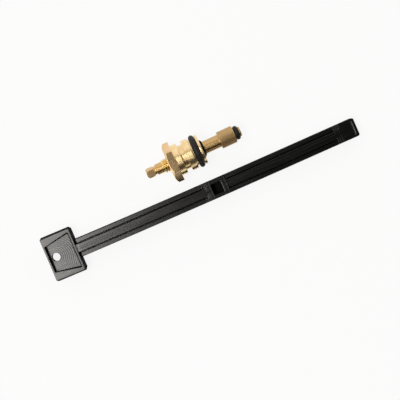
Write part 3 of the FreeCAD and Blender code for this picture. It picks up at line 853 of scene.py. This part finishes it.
def make_key():
    """The moulded key, as rows of corners joined along it, with both ends closed."""
    rings = [ring_of(row) for row in key_rows()]
    grid = np.array([ring for ring, _ in rings])
    along = np.array([radii for _, radii in rings])
    steps = [CORNER_STEPS if radii.max() > 0 else 1 for radii in along]
    lines = np.array([soften(grid[:, j], along[:, j], steps) for j in range(grid.shape[1])])
    lines = lines.transpose(1, 0, 2)
    count, around = lines.shape[:2]
    faces = grid_faces(count, around, False, True)
    faces.append(tuple(range(around)))
    faces.append(tuple((count - 1) * around + k for k in reversed(range(around))))
    points = key_point(lines.reshape(-1, 3)) * MM
    key = make_piece("moulded_key", points, faces, [PLASTIC, SHADE_WALL_PLASTIC], None, "key", ["operating_key"],
                     32, make_hole_cutter())
    # Painted shade: these faces take the matt black that reflects almost nothing, so they stay dark
    for face in key.data.polygons:
        if is_painted_shade(face):
            face.material_index = 1


# Camera, floor and lights
def make_camera():
    right = Vector((math.cos(CAMERA_TURN), math.sin(CAMERA_TURN), 0))
    down = Vector((math.sin(CAMERA_TURN), -math.cos(CAMERA_TURN), 0))
    forward = Vector((0, 0, -1)) + right * LOOK_RIGHT + down * LOOK_DOWN
    forward.normalize()
    right = (right - forward * right.dot(forward)).normalized()
    down = forward.cross(right)
    camera = bpy.data.cameras.new("camera")
    camera.sensor_width = SENSOR_WIDTH
    camera.lens = SENSOR_WIDTH * FOCAL_PIXELS / PICTURE_WIDTH
    camera.clip_start = 0.01
    camera.clip_end = 100
    holder = link_object("camera", camera)
    matrix = Matrix((right, -down, -forward)).transposed().to_4x4()
    matrix.translation = Vector(CAMERA_PLACE) * MM
    holder.matrix_world = matrix
    bpy.context.scene.camera = holder


def make_floor():
    """A white ground: mostly plain white to the eye and to reflections, and the rest lit, so shadows show."""
    corners = [(FLOOR_HALF * x, FLOOR_HALF * y, 0) for x, y in ((-1, -1), (1, -1), (1, 1), (-1, 1))]
    floor = link_mesh("floor", corners, [(0, 1, 2, 3)])
    material, tree, shader = new_material("white_ground", (0.95, 0.95, 0.95), 0, 0.9)
    floor.data.materials.append(material)
    glow = add(tree, "ShaderNodeEmission", Strength=1.0)
    path = tree.nodes.new("ShaderNodeLightPath")
    seen = math_node(tree, "ADD", path.outputs["Is Camera Ray"], path.outputs["Is Glossy Ray"])
    seen = math_node(tree, "ADD", seen, path.outputs["Is Transmission Ray"])
    share = math_node(tree, "MULTIPLY", seen, FLOOR_GLOW)
    blend = add(tree, "ShaderNodeMixShader", _0=share, _1=shader.outputs[0], _2=glow.outputs[0])
    tree.links.new(blend.outputs[0], tree.nodes["Material Output"].inputs["Surface"])


def add_panel(name, direction, width, radiance):
    """A soft box that faces the object from a direction. Overhead, its width lies along Y."""
    light = bpy.data.lights.new(name, "AREA")
    light.shape = "RECTANGLE"
    light.size = width
    light.size_y = LAMP_LENGTH
    light.energy = radiance * math.pi * width * LAMP_LENGTH
    light.color = LAMP_COLOR
    holder = link_object(name, light)
    place = Vector(direction).normalized() * LAMP_DISTANCE
    holder.location = place
    holder.rotation_mode = "QUATERNION"
    holder.rotation_quaternion = (Vector((0, 0, 0.01)) - place).to_track_quat("-Z", "Y")


def make_lamps():
    for name, low, high, radiance in LAMPS:
        near, far = math.tan(math.radians(low)), math.tan(math.radians(high))
        middle = (near + far) / 2
        direction = (-math.sin(LAMP_TILT), middle * math.cos(LAMP_TILT), math.cos(LAMP_TILT))
        add_panel(name, direction, LAMP_DISTANCE * (far - near), radiance)


def sky_level(tree, side):
    """The studio's brightness at an angle from overhead in radians."""
    sweep = tree.nodes.new("ShaderNodeFloatCurve")
    curve = sweep.mapping.curves[0]
    curve.points[0].location = (0, SKY[0][1])
    curve.points[1].location = (1, SKY[-1][1])
    for angle, level in SKY[1:-1]:
        curve.points.new((angle + 90) / 180, level)
    for point in curve.points:
        point.handle_type = "VECTOR"
    sweep.mapping.update()
    tree.links.new(ramp(tree, side, 0, 1, -math.pi / 2, math.pi / 2), sweep.inputs["Value"])
    return sweep.outputs[0]


def make_world():
    """The studio round the object: dark on the key's side, and white at both ends and at the horizon."""
    world = bpy.data.worlds.new("studio")
    world.use_nodes = True
    tree = world.node_tree
    direction = tree.nodes.new("ShaderNodeTexCoord").outputs["Generated"]
    parts = add(tree, "ShaderNodeSeparateXYZ", Vector=direction)
    side = math_node(tree, "ARCTAN2", parts.outputs[1], parts.outputs[2])
    endways = ramp(tree, math_node(tree, "ABSOLUTE", parts.outputs[0]), 0, 1, *WHITE_ENDS)
    cove = ramp(tree, parts.outputs[2], 1, 0, math.sin(COVE_START), math.sin(COVE_END))
    white = math_node(tree, "MAXIMUM", endways, cove)
    plain = math_node(tree, "MAXIMUM", ramp(tree, side, 0, 1, -TINT_FADE, TINT_FADE), white)
    background = tree.nodes["Background"]
    tree.links.new(mix_colors(tree, plain, NEAR_SIDE_TINT, (1, 1, 1, 1)), background.inputs["Color"])
    level = sky_level(tree, side)
    rest = math_node(tree, "SUBTRACT", 1.0, level)
    strength = math_node(tree, "ADD", level, math_node(tree, "MULTIPLY", white, rest))
    tree.links.new(strength, background.inputs["Strength"])
    bpy.context.scene.world = world


TURNED = lathe_brass("turned_brass", (0.99, 0.75, 0.41), (0.80, 0.55, 0.26), 0.335, 0.68, (2600, 1300), 0.01)
TURNED_SPINDLE = lathe_brass("spindle_brass", (0.72, 0.46, 0.18), (0.52, 0.31, 0.11), 0.32, 0.6,
                             (3000, 1500), 0.004)
STEM = lathe_brass("stem_brass", (0.64, 0.42, 0.18), (0.48, 0.30, 0.12), 0.30, 0.62, (3000, 1500), 0.002)
THREAD = lathe_brass("thread_brass", (0.92, 0.69, 0.285), (0.66, 0.48, 0.18), 0.25, 0.5, (3000, 1500), 0.002)
HEXAGON = drawn_brass("hexagon_brass", (0.91, 0.63, 0.33), (0.70, 0.46, 0.22), 0.28, 0.6, (240, 2400), 0.008)
NOSE = drawn_brass("nose_brass", (0.56, 0.37, 0.17), (0.40, 0.26, 0.11), 0.41, 0.4, (200, 2600), 0.012)
SQUARE = drawn_brass("square_brass", (0.76, 0.53, 0.28), (0.54, 0.35, 0.17), 0.36, 0.3, (400, 1800), 0.012)
RUBBER = rubber("ring_rubber", (0.009, 0.008, 0.007), 0.5, 0.3)
GLAND_RUBBER = rubber("gland_rubber", (0.003, 0.0026, 0.002), 0.6, 0.08)
PLASTIC = moulded_plastic()
# Painted shade: a matt black with almost no reflection, laid on the key's walls, edges and pocket
SHADE_WALL_PLASTIC = shade_wall_plastic()

make_camera()
make_floor()
make_lamps()
make_world()
make_valve_body()
make_spindle()
make_gland()
make_ring("big_ring", BODY_RING, "valve", "body_o_ring")
make_ring("tip_ring", TIP_RING, "tip_seal", "nose_o_ring")
make_key()

# The pieces inside the gland keep their solids
for node, material in (("gland_spacer", TURNED), ("stem_o_ring_rear", RUBBER), ("stem_o_ring_front", RUBBER)):
    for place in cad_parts[node].material_slots:
        place.material = material

bpy.context.scene.view_settings.view_transform = "Standard"
